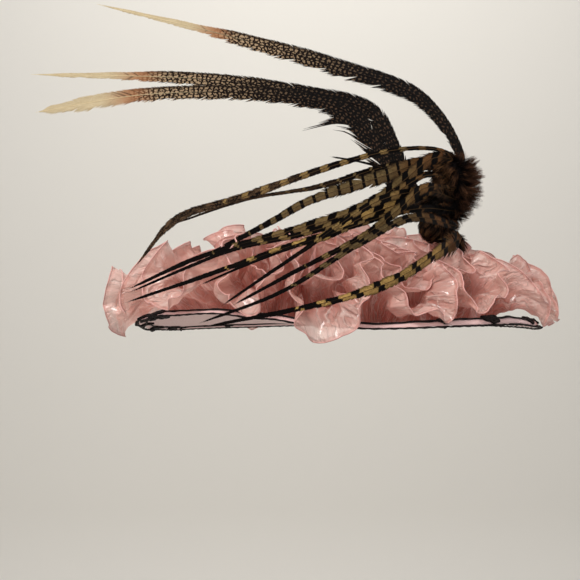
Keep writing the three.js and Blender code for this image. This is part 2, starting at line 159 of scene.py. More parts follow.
def tube(path, outward, radius, sides=6, closed=False):
    """A round tube along a path, with outward giving the way that its seam faces."""
    if closed:
        along = np.roll(path, -1, 0) - np.roll(path, 1, 0)
    else:
        along = np.gradient(path, axis=0)
    across = unit(np.cross(along, outward))
    out = unit(np.cross(across, along))
    radius = np.broadcast_to(np.asarray(radius, float), len(path))[:, None, None]
    turn = np.arange(sides) * 2 * np.pi / sides
    ring = across[:, None] * np.cos(turn)[None, :, None] + out[:, None] * np.sin(turn)[None, :, None]
    points = (path[:, None] + radius * ring).reshape(-1, 3)
    return points, grid_faces(len(path), sides, closed, wrapped=True)


def together(parts):
    """Joins (points, faces) parts into one."""
    points, faces, first = [], [], 0
    for some_points, some_faces in parts:
        points.append(some_points)
        faces.append(some_faces + first)
        first += len(some_points)
    return np.concatenate(points), np.concatenate(faces)


def ribbons(lines, widths, flats):
    """Narrow strips, one along each line of points, widths wide in the direction of flats."""
    count, steps = lines.shape[:2]
    half = (widths / 2)[..., None] * flats
    points = np.stack([lines - half, lines + half], 2).reshape(-1, 3)
    first = (np.arange(count)[:, None] * steps + np.arange(steps - 1)[None, :])[..., None] * 2
    faces = (first + np.array([0, 1, 3, 2])).reshape(-1, 4)
    return points, faces


def spread(values):
    """A value for each point of a line as one for each side of its ribbon."""
    return np.repeat(values.reshape(-1, *values.shape[2:]), 2, 0)


# %% Pieces
def make_piece(name, points, faces, finish, slot, stands_for=(), **marks):
    """A shaded mesh that rides with the hat and stands for CAD nodes. Marks are kept on its points."""
    mesh = bpy.data.meshes.new(name)
    mesh.vertices.add(len(points))
    mesh.vertices.foreach_set("co", (np.asarray(points, float) * MM).astype(np.float32).ravel())
    mesh.loops.add(faces.size)
    mesh.loops.foreach_set("vertex_index", faces.astype(np.int32).ravel())
    mesh.polygons.add(len(faces))
    mesh.polygons.foreach_set("loop_start", np.arange(0, faces.size, faces.shape[1], dtype=np.int32))
    mesh.update(calc_edges=True)
    mesh.shade_smooth()
    for mark, values in marks.items():
        kind = "FLOAT_VECTOR" if np.ndim(values) == 2 else "FLOAT"
        layer = mesh.attributes.new(mark, kind, "POINT")
        key = "vector" if kind == "FLOAT_VECTOR" else "value"
        layer.data.foreach_set(key, np.asarray(values, np.float32).ravel())
    mesh.materials.append(finish)
    piece = bpy.data.objects.new(name, mesh)
    bpy.context.scene.collection.objects.link(piece)
    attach(piece, "root")
    if stands_for:
        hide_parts(*stands_for)
    return piece


# %% [markdown]
# ## Small helpers for finishes
# A finish is a tree of shader nodes. The helper below adds one node and joins its inputs in
# one line, so that a tree reads from top to bottom. Effects that several finishes share are
# node groups with named inputs and outputs.

# %% Nodes
def add_node(tree, kind, sockets=None, **settings):
    """A new node. Each of its sockets is joined to another or gets a value of its own."""
    made = tree.nodes.new(kind)
    for name, value in settings.items():
        setattr(made, name, value)
    for name, value in (sockets or {}).items():
        if isinstance(value, bpy.types.NodeSocket):
            tree.links.new(value, made.inputs[name])
        else:
            made.inputs[name].default_value = value
    return made


def sums(tree, operation, *values):
    sockets = dict(enumerate(values))
    return add_node(tree, "ShaderNodeMath", sockets, operation=operation).outputs[0]


def times(tree, first, second):
    return sums(tree, "MULTIPLY", first, second)


def blend(tree, share, first, second):
    """One colour turning into another."""
    sockets = {0: share, 6: first, 7: second}
    return add_node(tree, "ShaderNodeMix", sockets, data_type="RGBA").outputs[2]


def layered(tree, tint, *layers):
    """A colour with others laid over it in turn, each as a share and a tint."""
    for share, over in layers:
        tint = blend(tree, share, tint, over)
    return tint


def between(tree, value, low, high, start=0.0, end=1.0):
    """A value that goes smoothly from start to end as another goes from low to high."""
    sockets = {"Value": value, "From Min": low, "From Max": high, "To Min": start, "To Max": end}
    made = add_node(tree, "ShaderNodeMapRange", sockets, interpolation_type="SMOOTHSTEP")
    return made.outputs[0]


def noise(tree, place, scale, detail=2.0, rough=0.5):
    sockets = {"Vector": place, "Scale": scale, "Detail": detail, "Roughness": rough}
    return add_node(tree, "ShaderNodeTexNoise", sockets).outputs[0]


def stretched(tree, place, x, y, z):
    return add_node(tree, "ShaderNodeVectorMath", {0: place, 1: (x, y, z)}, operation="MULTIPLY").outputs[0]


def mark(tree, name, output="Vector"):
    return add_node(tree, "ShaderNodeAttribute", attribute_name=name).outputs[output]


def place_on_hat(tree):
    """Where a point of the surface is, in metres."""
    return add_node(tree, "ShaderNodeTexCoord").outputs["Object"]


def parts_of(tree, vector):
    return add_node(tree, "ShaderNodeSeparateXYZ", {0: vector}).outputs


def colour(red, green, blue):
    """A colour as a screen shows it, from 0 to 255, in the linear values that shaders use."""
    shares = [channel / 255 for channel in (red, green, blue)]
    linear = [s / 12.92 if s <= 0.04045 else ((s + 0.055) / 1.055) ** 2.4 for s in shares]
    return (*linear, 1.0)


def finish(name, **sockets):
    """A new material, with its shader's own sockets set."""
    made = bpy.data.materials.new(name)
    made.use_nodes = True
    shader = made.node_tree.nodes["Principled BSDF"]
    for socket, value in sockets.items():
        shader.inputs[socket.replace("_", " ")].default_value = value
    return made, made.node_tree, shader


def join(tree, source, shader, socket):
    tree.links.new(source, shader.inputs[socket])


def bump(tree, shader, height, distance, strength=1.0):
    """Small relief, with its height in metres."""
    made = add_node(tree, "ShaderNodeBump", {"Height": height, "Distance": distance, "Strength": strength})
    join(tree, made.outputs[0], shader, "Normal")


# %% Group: threads of a plain weave
def new_group(name, inputs, outputs):
    group = bpy.data.node_groups.new(name, "ShaderNodeTree")
    for title, kind, value in inputs:
        socket = group.interface.new_socket(title, in_out="INPUT", socket_type=kind)
        if value is not None:
            socket.default_value = value
    for title, kind in outputs:
        group.interface.new_socket(title, in_out="OUTPUT", socket_type=kind)
    return group, group.nodes.new("NodeGroupInput").outputs, group.nodes.new("NodeGroupOutput").inputs


def use_group(tree, group, **sockets):
    named = {title.replace("_", " "): value for title, value in sockets.items()}
    return add_node(tree, "ShaderNodeGroup", named, node_tree=group).outputs


VALUE, VECTOR = "NodeSocketFloat", "NodeSocketVector"

plain_weave, given, result = new_group(
    "plain weave", [("Cloth", VECTOR, None), ("Threads per mm", VALUE, 2.0)], [("Height", VALUE)])
over = parts_of(plain_weave, given["Cloth"])
rate = times(plain_weave, given["Threads per mm"], 2 * math.pi)
warp, weft = (sums(plain_weave, "SINE", times(plain_weave, over[way], rate)) for way in (0, 1))
plain_weave.links.new(times(plain_weave, warp, weft), result["Height"])

# %% Group: creases in crisp cloth
creases, given, result = new_group(
    "creases", [("Cloth", VECTOR, None), ("Size", VALUE, 20.0)],
    [("Height", VALUE), ("Mottle", VALUE), ("Lines", VALUE), ("Panels", VALUE)])
tree = creases
size = sums(tree, "DIVIDE", 1.0, given["Size"])
scaled = {0: given["Cloth"], "Scale": size}
place = add_node(tree, "ShaderNodeVectorMath", scaled, operation="SCALE").outputs[0]
wander = add_node(tree, "ShaderNodeTexNoise", {"Vector": place, "Scale": 0.8, "Detail": 3.0})
bending = {0: wander.outputs["Color"], 1: (1.6, 1.6, 0.0), 2: place}
bent = add_node(tree, "ShaderNodeVectorMath", bending, operation="MULTIPLY_ADD").outputs[0]
edges = add_node(tree, "ShaderNodeTexVoronoi", {"Vector": bent, "Scale": 1.0}, feature="DISTANCE_TO_EDGE")
from_edge = edges.outputs["Distance"]
ridge = between(tree, from_edge, 0.0, 0.16, 1.0, 0.0)
ripple = noise(tree, stretched(tree, bent, 5.0, 1.1, 1.0), 1.0, 3.0)
pressed = noise(tree, stretched(tree, bent, 1.6, 0.26, 1.0), 1.0, 1.5)
pressed = sums(tree, "ABSOLUTE", sums(tree, "SUBTRACT", pressed, 0.5))
pressed = between(tree, pressed, 0.004, 0.028, 1.0, 0.0)
shown = between(tree, noise(tree, place, 0.35, 1.0), 0.48, 0.56)
folded = times(tree, between(tree, from_edge, 0.008, 0.05, 1.0, 0.0), shown)
panels = add_node(tree, "ShaderNodeTexVoronoi", {"Vector": bent, "Scale": 1.0})
tree.links.new(sums(tree, "MULTIPLY_ADD", ripple, 0.9, ridge), result["Height"])
tree.links.new(noise(tree, place, 0.6, 3.0), result["Mottle"])
tree.links.new(sums(tree, "MAXIMUM", pressed, folded), result["Lines"])
tree.links.new(parts_of(tree, panels.outputs["Color"])[0], result["Panels"])
print("node groups:", len(bpy.data.node_groups))

# %% [markdown]
# ## Organza
# Organza is a thin crisp cloth of shiny filament. It lets some of the light straight
# through, so folds look deeper in colour where several layers lie over each other and pale
# where one layer is alone. It breaks into flat panels with folded lines between them, which
# catch sharp lights, and it is palest where it hangs below the rim. The shader is partly
# see-through, with a low roughness, a shiny coat and a relief of panels, lines and threads.
# The folded lines are also painted pale in the colour, partly as the cloth's whitish creases and
# partly as painted highlight.

# %% Finish: organza
PINK_DEEP, PINK, PINK_PALE = colour(190, 98, 84), colour(236, 162, 146), colour(255, 226, 214)
# The second colour is the pale of the fold lines: partly the cloth's whitish creases, partly a painted
# highlight.
BELOW_RIM, PALE_CREASE_AND_HIGHLIGHT = colour(250, 226, 220), colour(255, 228, 216)

organza, tree, shader = finish(
    "organza", IOR=1.6, Sheen_Weight=0.2, Sheen_Roughness=0.3, Sheen_Tint=colour(255, 230, 224),
    Coat_Weight=1.0, Coat_Roughness=0.16, Alpha=0.72)
cloth = mark(tree, "cloth")
folds = use_group(tree, creases, Cloth=cloth, Size=23.0)
threads = use_group(tree, plain_weave, Cloth=cloth, Threads_per_mm=1.6)
crinkle = noise(tree, stretched(tree, cloth, 0.5, 0.045, 0.0), 1.0, 4.0, 0.6)
hem_share = parts_of(tree, cloth)[2]
tone = sums(tree, "MULTIPLY_ADD", folds["Panels"], 0.5, between(tree, folds["Mottle"], 0.3, 0.7, 0.0, 0.5))
height = parts_of(tree, place_on_hat(tree))[2]
shade = layered(
    tree, PINK_DEEP,
    (tone, PINK),
    (between(tree, hem_share, 0.35, 0.95, 0.0, 0.6), PINK_PALE),
    (between(tree, crinkle, 0.5, 0.75, 0.0, 0.45), PINK_PALE),
    (between(tree, height, -0.014, 0.012, 0.65, 0.0), BELOW_RIM),
    # Fold lines painted pale: partly whitish creases in the cloth, partly a painted highlight where the folds
    # catch the light.
    (times(tree, folds["Lines"], 0.85), PALE_CREASE_AND_HIGHLIGHT),
    (between(tree, hem_share, 0.95, 0.97, 0.0, 0.5), PINK_DEEP),
)
join(tree, shade, shader, "Base Color")
join(tree, between(tree, folds["Mottle"], 0.3, 0.7, 0.22, 0.36), shader, "Roughness")
relief = folds["Height"]
for part, share in ((threads["Height"], 0.03), (crinkle, 1.8), (folds["Lines"], 0.8), (folds["Panels"], 0.6)):
    relief = sums(tree, "MULTIPLY_ADD", part, share, relief)
bump(tree, shader, relief, 0.0016)
through = add_node(tree, "ShaderNodeBsdfTranslucent", {"Color": colour(248, 190, 174)}).outputs[0]
lit = add_node(tree, "ShaderNodeMixShader", {0: 0.28, 1: shader.outputs[0], 2: through}).outputs[0]
tree.links.new(lit, tree.nodes["Material Output"].inputs["Surface"])

hem_cloth, tree, shader = finish("rolled hem", Roughness=0.4, Sheen_Weight=0.2, Alpha=0.85)
twist = noise(tree, place_on_hat(tree), 900.0)
join(tree, blend(tree, twist, colour(190, 122, 112), colour(232, 184, 174)), shader, "Base Color")
bump(tree, shader, twist, 0.0004)

# %% Finish: the brim's cloth
brim_cloth, tree, shader = finish("brim cloth", Sheen_Weight=0.3, Sheen_Roughness=0.5)
cloth = mark(tree, "cloth")
threads = use_group(tree, plain_weave, Cloth=cloth, Threads_per_mm=0.8)
mottle = use_group(tree, creases, Cloth=cloth, Size=60.0)["Mottle"]
join(tree, blend(tree, mottle, colour(214, 168, 165), colour(236, 202, 198)), shader, "Base Color")
join(tree, between(tree, mottle, 0.3, 0.7, 0.45, 0.6), shader, "Roughness")
bump(tree, shader, threads["Height"], 0.0002)

# %% Finish: lace thread
lace_thread, tree, shader = finish("lace thread", Roughness=0.7, Specular_IOR_Level=0.2)
fray = noise(tree, place_on_hat(tree), 1400.0)
join(tree, blend(tree, fray, colour(6, 4, 4), colour(30, 19, 18)), shader, "Base Color")
bump(tree, shader, fray, 0.0003)

# %% [markdown]
# ## The brim and the crown
# The brim is a flat disc of covered buckram. Its edge is pulled up a little in front and at
# the wearer's right, so that the underside shows there. The crown is a plain oval dome. The
# ruffles hide it, but it shows from below.

# %% Brim and crown shapes
HEAD = {"x": 81.0, "y": 99.0}
CROWN = {"height": 94.0, "wall": 2.0, "flat": 62.0, "gap": 0.4}
BRIM = {"x": 256.0, "y": 254.0, "thickness": 2.0, "bend": 1.4}
EDGE_LIFTS = by_column((    # angle, lift of the edge
    (0, -1), (60, -6), (90, -10), (122, -12), (150, -12), (168, -9), (184, 0), (200, 9),
    (218, 17), (236, 20), (250, 15), (262, 9), (276, 6), (300, 10), (316, 11), (336, 6),
))
LIP_WIDTH = 9.0   # the band at the edge that is turned down
LIP_DROPS = by_column((     # angle, how far the band's edge is turned down
    (0, 7), (60, 5), (180, 4), (215, 4), (252, 3), (276, 3.5), (300, 5.5), (320, 6.5),
))


def oval(half, angle):
    turn = np.radians(angle)
    return 1 / np.hypot(np.cos(turn) / half["x"], np.sin(turn) / half["y"])


def rows_around(starts, angle):
    """The rows of a table before and after an angle, and the share of the way between."""
    turn = (angle - starts[0]) % 360 + starts[0]
    row = np.searchsorted(starts, turn, side="right") - 1
    after = (row + 1) % len(starts)
    end = np.where(row + 1 < len(starts), starts[after], starts[0] + 360)
    return row, after, (turn - starts[row]) / (end - starts[row])


def eased_around(starts, values, angle):
    """A table's value at an angle, eased between its rows."""
    row, after, share = rows_around(starts, angle)
    return mix(values[row], values[after], ease(share))


def on_circle(radius, angle, height):
    turn = np.radians(angle)
    return np.stack(np.broadcast_arrays(radius * np.cos(turn), radius * np.sin(turn), height), -1)


def brim_height(radius, angle):
    """How high the middle of the brim is, in millimetres."""
    inner, reach = oval(HEAD, angle), oval(BRIM, angle)
    rise = np.maximum(0, (radius - inner) / (reach - inner)) ** BRIM["bend"]
    bent = np.clip((radius - reach) / LIP_WIDTH + 1, 0, 1.3) ** 1.2
    return eased_around(*EDGE_LIFTS, angle) * rise - eased_around(*LIP_DROPS, angle) * bent


def round_shell(name, outline, node, turns=180):
    """A closed shell from rings of (radius, height) points that depend on the angle."""
    angle = np.arange(turns)[:, None] * 360 / turns
    radius, height = outline(angle)
    points = on_circle(radius, angle, height)
    faces = grid_faces(turns, points.shape[1], closed=True, wrapped=True)
    points = points.reshape(-1, 3)
    return make_piece(name, points, faces[:, ::-1], brim_cloth, "brim_cloth", [node], cloth=points)


def brim_outline(angle):
    shares = np.array([0, 0.01, 0.15, 0.3, 0.45, 0.6, 0.75, 0.88, 0.94, 0.96, 0.98, 0.99, 1.0])
    half = np.array([0.4, *[1] * 11, 0.4]) * BRIM["thickness"] / 2
    radius = mix(oval(HEAD, angle), oval(BRIM, angle), shares)
    height = brim_height(radius, angle)
    return (np.concatenate([radius, radius[:, ::-1]], 1),
            np.concatenate([height + half, (height - half)[:, ::-1]], 1))


def crown_outline(angle):
    foot, top = BRIM["thickness"] / 2 + CROWN["gap"], CROWN["height"]
    reach = HEAD["y"] + CROWN["wall"]
    outside = [(reach, foot), (reach, top - 52), (reach - 1, top - 40), (reach - 2, top - 32),
               (reach - 8, top - 15), (reach - 13, top - 9), (reach - 20, top - 5),
               (CROWN["flat"], top), (0.5, top)]
    inside = [(0.5, top - 2), (CROWN["flat"], top - 2), (reach - 22, top - 7.5), (reach - 15, top - 11.5),
              (reach - 10, top - 17), (reach - 4, top - 33), (reach - 3, top - 41),
              (reach - 2, top - 52), (reach - 2, foot)]
    share, height = by_column(outside + inside)
    radius = share * oval({"x": HEAD["x"] + CROWN["wall"], "y": reach}, angle) / reach
    return radius, np.broadcast_to(height, radius.shape)


brim = round_shell("brim_cover", brim_outline, "brim")
crown = round_shell("crown_cover", crown_outline, "crown")
print("brim and crown faces:", len(brim.data.polygons) + len(crown.data.polygons))

# %% [markdown]
# ## Gathered ruffles
# A ruffle is a long strip gathered along one edge. Across the strip its section is an arc
# that starts at the root and ends at the hem. Along the strip it swings between lobes that
# fall outwards and crests that stand up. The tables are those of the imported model. What is
# added here is everything finer: puckers at the gathers, small waves along the hem, lobes
# that lean each its own way, and crisp dents.

# %% Tables of the folds
RUFFLE = {"wall": 1.5, "round": 1.5, "flare": 0.7, "sway": 2.6, "swell": 4.0, "gap": 0.4,
          "steepest": 97.0, "curl": 12.0}
FOLDS = (         # angle of the lobe, slope of its hem, width of the strip, slope of the next crest
    (0, -50, 100, 50), (22, -20, 96, 62), (44, -35, 96, 70), (66, -25, 92, 75),
    (89, -30, 96, 75), (112, -76, 122, 70), (134, -30, 100, 62), (156, -62, 112, 34),
    (180, -78, 120, 30), (203, -34, 96, 56), (224, -36, 82, 82), (241, -38, 84, 88),
    (260, -80, 104, 84), (287, -48, 72, 84), (305, -35, 72, 92), (339, -64, 84, 62),
)
LOBE, FALL, CLOTH, CREST = by_column(FOLDS)
# In each tier: name, radius of the root, strips, slope at the root, then how much of the table's
# falls is used, how far falls and crests are raised, and the least and greatest width.
BRIM_TIERS = (
    ("outer_ruffle", 200, 6, 52, 1, 0, 0, (70, 122)),
    ("middle_ruffle", 159, 5, 64, 0.35, 14, 34, (84, 97)),
    ("inner_ruffle", 120, 5, 84, 0.1, 46, 46, (100, 122)),
)
# On the crown: name, radius of the root, strips, slope at the root, lobes, their slope, that of the
# crests, and the width.
CROWN_TIERS = (
    ("crown_ruffle", 46, 2, 62, 8, -16, 32, 46),
    ("crown_rosette", 16, 1, 80, 5, 20, 70, 28),
)
SEAT = RUFFLE["gap"] + RUFFLE["wall"] / 2


def fold_share(turns):
    """1 at a lobe and 0 at a crest, with both broad and round."""
    round_off = RUFFLE["round"]
    return 0.5 + 0.5 * np.tanh(round_off * np.cos(2 * np.pi * turns)) / np.tanh(round_off)


def brim_section(tier, angle):
    """Where a strip starts, its slopes at the root and the hem, and its width, all by the angle."""
    root, rise, use_fall, raise_fall, raise_crest, widths = tier
    row, after, share = rows_around(LOBE, angle)
    falling = fold_share(share)
    near = np.where(share < 0.5, row, after)
    crest = np.minimum(RUFFLE["steepest"], CREST[row] + raise_crest)
    stand = np.minimum(RUFFLE["steepest"], crest + RUFFLE["curl"])
    foot = brim_height(root, angle) + BRIM["thickness"] / 2 + SEAT
    return (root, foot, mix(stand + 1, rise, falling),
            mix(crest, FALL[near] * use_fall + raise_fall, falling),
            np.clip(eased_around(LOBE, CLOTH, angle), *widths))


def crown_section(tier, angle):
    root, rise, lobes, fall, crest, width = tier
    falling = fold_share(angle / 360 * lobes)
    stand = crest + RUFFLE["curl"]
    return (root, CROWN["height"] + SEAT, mix(stand + 1, rise, falling), mix(crest, fall, falling),
            width * (1 + 0.08 * np.sin(np.radians(3 * angle))))


def flared(radius, angle, height, lean):
    """Lobes open and crests close towards the hems, and the heap leans and swells a little."""
    row, after, share = rows_around(LOBE, angle)
    spacing = (LOBE[after] - LOBE[row]) % 360
    reach = np.hypot(np.maximum(0, radius - BRIM_TIERS[-1][1]), height)
    opened = RUFFLE["flare"] * step(reach, 30, 140) * spacing * np.sin(2 * np.pi * share) / (2 * np.pi)
    high = step(height, 12, 80)
    sway = RUFFLE["sway"] * high * np.sin(np.radians(3 * angle + 114))
    swell = RUFFLE["swell"] * high * np.sin(np.radians(5 * angle + 100))
    return on_circle(radius + swell, angle + opened + sway + lean, height)


# %% Cloth of one strip
DETAIL = {
    "step": 1.9, "rows": 44, "lean": 7.0, "uneven": 0.13, "pucker": 1.8, "pucker_length": 12.0,
    "wave": 8.0, "wave_length": 40.0, "dent": 6.5, "dent_size": 44.0, "pleat": 1.0, "pleat_size": 8.5,
    "crease": 1.7, "crease_size": 21.0, "jag": 1.1, "jag_size": 16.0, "hem": 0.75,
    "cut_angles": 1600, "cut_at": 0.9, "fade": (-4, 16),
}


def strip_surface(tier, section, angle, across, seed):
    """Points at angles round the hat, and shares of the way from the root to the hem."""
    root, foot, start, end, width = section(tier, angle)
    width = width * (1 + DETAIL["uneven"] * hills(angle / 13.0, seed * 1.3, seed + 8))
    start, turn = np.radians(start), np.radians(end - start)
    slope = start + turn * across
    radius = root + width * (np.sin(slope) - np.sin(start)) / turn
    height = foot + width * (np.cos(start) - np.cos(slope)) / turn
    lean = DETAIL["lean"] * across ** 2 * hills(angle / 11.0, seed * 0.7, seed)
    return flared(radius, angle, height, lean), width


def strip_columns(tier, section, first, last, seed):
    """Angles that cut the strip into even lengths near its hem, and those lengths."""
    angle = np.linspace(first, last, DETAIL["cut_angles"])[:, None]
    hem = strip_surface(tier, section, angle, np.array([[DETAIL["cut_at"]]]), seed)[0][:, 0]
    length = lengths_along(hem)
    even = np.linspace(0, length[-1], int(length[-1] / DETAIL["step"]) + 1)
    return np.interp(even, length, angle[:, 0])[:, None], even[:, None]


def strip_detail(run, wide, across, seed, depth):
    """How far the cloth stands off its plain form, in millimetres."""
    pucker = np.sin(2 * np.pi * run / DETAIL["pucker_length"] + 2 * hills(run / 40, 0, seed))
    phase = 3 * hills(run / 95, across * 2, seed + 1)
    uneven = 0.6 + 0.4 * hills(run / 60, 0, seed + 2)
    wave = uneven * np.sin(2 * np.pi * run / DETAIL["wave_length"] + phase)

    def creased(kind, run, tall, draw):
        size = DETAIL[kind + "_size"]
        return DETAIL[kind] * facets(run / size, wide / (tall * size), seed + draw)

    wandering = run + 6 * hills(run / 50, wide / 70, seed + 6)
    return depth * (
        DETAIL["pucker"] * np.exp(-across / 0.2) * pucker
        + DETAIL["wave"] * across ** 1.5 * wave
        + step(across, 0.02, 0.5) * creased("dent", run, 1, 3)
        + step(across, 0.0, 0.2) * (1 - 0.4 * across) * creased("pleat", wandering, 5, 5)
        + step(across, 0.0, 0.3) * creased("crease", run, 1.3, 4)
        + step(across, 0.6, 1.0) * creased("jag", run, 2, 7)
    )


def make_strip(name, tier, section, first, last, seed, depth=1.0):
    """Makes a strip and its hem. Its relief fades out at both ends. Returns its flat size in mm."""
    angle, run = strip_columns(tier, section, first, last, seed)
    across = np.linspace(0, 1, DETAIL["rows"] + 1)[None, :]
    points, width = strip_surface(tier, section, angle, across, seed)
    wide = width * across
    normal = unit(np.cross(np.gradient(points, axis=0), np.gradient(points, axis=1)))
    fade = step(np.minimum(run, run[-1] - run), *DETAIL["fade"])
    points = points + normal * strip_detail(run, wide, across, seed, depth * fade)[..., None]
    cloth = np.stack(np.broadcast_arrays(run, wide, across), -1).reshape(-1, 3)
    piece = make_piece(name + "_cloth", points.reshape(-1, 3), grid_faces(*points.shape[:2]), organza,
                       "ruffle_organza", [name], cloth=cloth)
    hem = make_piece(name + "_hem", *tube(points[:, -1], normal[:, -1], DETAIL["hem"]), hem_cloth,
                     "ruffle_organza")
    lengths = np.linalg.norm(np.diff(points, axis=0), axis=2).sum(0)
    flat = (float(np.mean(width)) * MM, float(lengths[-1]) * MM)
    return [round(side / MM) for side in flat]


# %% Sew on every strip
def sew_tier(tier, section, lobes, seed, depth=1.0):
    """Cuts a tier into strips between lobes, and sews each one on."""
    name, root, strips, *form = tier
    middles = [(one + other) / 2 for one, other in zip(lobes, [*lobes[1:], lobes[0] + 360])]
    ends = [round(end * len(lobes) / strips) for end in range(strips + 1)]
    cuts = [middles[end % len(lobes)] + 360 * (end // len(lobes)) for end in ends]
    flats = []
    for number, (first, last) in enumerate(zip(cuts, cuts[1:])):
        flats.append(make_strip(f"{name}_{number + 1}", (root, *form), section, first, last,
                                seed + 10 * number, depth))
    print(name, "strips, flat width and length in mm:", flats)


for order, tier in enumerate(BRIM_TIERS):
    sew_tier(tier, brim_section, list(LOBE), 100 + 200 * order)
for order, tier in enumerate(CROWN_TIERS):
    lobes = tier[4]
    sew_tier(tier, crown_section, [360 * lobe / lobes for lobe in range(lobes)], 800 + 100 * order, 0.5)

# %% [markdown]
# ## Lace at the brim's edge
# A braid with small loops is sewn round the rim, and a thin cord runs inside it on both
# faces, with a few flowers worked on it. All of it is thread, so it is made as tubes.

# %% Lace
LACE = {"inset": (9.0, 5.5), "cord": 1.0, "braid": 1.3, "loop": 3.2, "loops": 230, "edge_gap": 2.1}
FLOWERS = (       # angle of each flower on the cord, and its size
    (293, 0.7), (309, 1.5), (331, 1.3), (9, 1.0), (69, 1.0), (129, 1.0), (157, 1.4), (170, 1.7), (183, 1.5),
    (197, 1.6), (210, 1.9), (249, 0.8),
)
LINKS = (293, 262, 214, 200, 178, 150, 100, 60, 20, 340)    # where a thread ties the cord to the rim


def brim_line(inset, angle, side, above=0.0):
    """A line that follows the brim's face, inset from the rim, above its upper or lower face."""
    radius = oval(BRIM, angle) - inset
    height = brim_height(radius, angle) + side * (BRIM["thickness"] / 2 + above)
    return on_circle(radius, angle, height)


def rim_braid():
    angle = np.arange(720) * 0.5
    wobble = 0.35 * np.sin(np.radians(angle * 150))
    core = brim_line(-LACE["edge_gap"] + wobble, angle, 0)
    thick = LACE["braid"] * (0.85 + 0.15 * np.cos(np.radians(angle * 90)))
    parts = [tube(core, UP, thick, closed=True)]
    for number in range(LACE["loops"]):
        centre = 360 * number / LACE["loops"]
        turn = np.linspace(0, 2 * np.pi, 9)[:-1]
        out = LACE["edge_gap"] + 0.6 + LACE["loop"] * (0.5 - 0.5 * np.cos(turn)) * 0.8
        beside = centre + np.degrees(LACE["loop"] * 0.45 * np.sin(turn) / BRIM["x"])
        parts.append(tube(brim_line(-out, beside, 0), UP, 0.45, sides=4, closed=True))
    return together(parts)


def lace_face(side):
    angle = np.arange(360) * 1.0
    above = LACE["cord"] + 0.3
    inset = LACE["inset"][side > 0]
    wander = 0.8 * np.sin(np.radians(angle * 23)) + 0.5 * np.sin(np.radians(angle * 57))
    knots = 1 + 0.5 * np.maximum(0, hills(angle / 2.5, 0, 31 + side)) ** 2
    parts = [tube(brim_line(inset + wander, angle, side, above), UP, LACE["cord"] * knots, closed=True)]
    for link in LINKS:
        share = np.linspace(0, 1, 7)
        bow = link + 1.6 * np.sin(np.pi * share)
        line = brim_line(inset * (1 - share), bow, side, above)
        parts.append(tube(line, UP, 1.2 + 0.3 * np.cos(2 * np.pi * share)))
    for centre, size in FLOWERS:
        for petal in range(6):
            turn = np.linspace(0, 2 * np.pi, 13)[:-1]
            facing = 2 * np.pi * petal / 6 + 0.3
            out, sideways = size * (2.6 - 2.6 * np.cos(turn)), size * 1.8 * np.sin(turn)
            inward = out * np.sin(facing) + sideways * np.cos(facing)
            beside = (out * np.cos(facing) - sideways * np.sin(facing)) * 1.5
            ring = brim_line(inset + inward, centre + np.degrees(beside / BRIM["x"]), side, above + 0.2)
            parts.append(tube(ring, UP, 1.1 * size, sides=5, closed=True))
    return together(parts)


braid = make_piece("rim_braid", *rim_braid(), lace_thread, "lace_cord", ["edge_braid"])
lace_above = make_piece("lace_above", *lace_face(1), lace_thread, "lace_cord", ["lace_top"])
lace_below = make_piece("lace_below", *lace_face(-1), lace_thread, "lace_cord", ["lace_under"])
print("lace faces:", sum(len(piece.data.polygons) for piece in (braid, lace_above, lace_below)))

# %% [markdown]
# ## Feathers
# A feather is a shaft with barbs on both sides that slant towards its tip. Each barb here is
# a narrow ribbon of its own, so the edges of the vane fray and split as real ones do. The
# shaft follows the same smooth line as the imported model. Each barb keeps marks of where it
# lies on the vane, and the finish draws the bars and flecks from those marks.

# %% The line of a shaft
FEATHER = {"root_x": 132.0, "bow": 70.0, "points": 300}


def smooth_line(points, count):
    """A centripetal Catmull-Rom curve through points, cut to even lengths."""
    knots = np.vstack([2 * points[0] - points[1], points, 2 * points[-1] - points[-2]])
    made = []
    for i in range(1, len(knots) - 2):
        around = knots[i - 1:i + 3]
        before, start, end, after = around
        gaps = [max(np.linalg.norm(b - a) ** 0.5, 1e-4) for a, b in zip(around, around[1:])]
        leave = (start - before) / gaps[0] - (end - before) / (gaps[0] + gaps[1]) + (end - start) / gaps[1]
        reach = (end - start) / gaps[1] - (after - start) / (gaps[1] + gaps[2]) + (after - end) / gaps[2]
        leave, reach = leave * gaps[1], reach * gaps[1]
        t = np.linspace(0, 1, 60, endpoint=i == len(knots) - 3)[:, None]
        made.append(start + leave * t + (3 * (end - start) - 2 * leave - reach) * t ** 2
                    + (2 * (start - end) + leave + reach) * t ** 3)
    line = np.vstack(made)
    length = lengths_along(line)
    even = np.linspace(0, length[-1], count)
    return np.stack([np.interp(even, length, line[:, k]) for k in range(3)], 1), length[-1]


class Shaft:
    """The line of a feather, with the way it runs, the way its vane spreads and the way it faces."""

    def __init__(self, route, depth, forward):
        x, z = np.array(route, float).T
        bowed = depth - forward * (1 - np.exp(np.minimum(0, x - FEATHER["root_x"]) / FEATHER["bow"]))
        self.line, self.length = smooth_line(np.stack([x, bowed, z], 1), FEATHER["points"])
        self.along = unit(np.gradient(self.line, axis=0))
        facing = np.stack([self.along[:, 1], -self.along[:, 0], 0 * self.along[:, 0]], 1)
        self.facing = unit(facing * np.where(self.along[:, :1] > 0, 1, -1))
        self.side = unit(np.cross(self.along, self.facing))
        self.places = np.linspace(0, self.length, FEATHER["points"])
        self.shown = lengths_along(self.line[:, [0, 2]])

    def at(self, run):
        """The line and its three directions at lengths along it, which may pass the tip."""
        def taken(values):
            return np.stack([np.interp(run, self.places, values[:, k]) for k in range(3)], -1)
        along = unit(taken(self.along))
        beyond = np.maximum(0, run - self.length)[..., None]
        return taken(self.line) + along * beyond, along, unit(taken(self.side)), unit(taken(self.facing))


# %% Barbs along a shaft
BARB_STEPS = 4


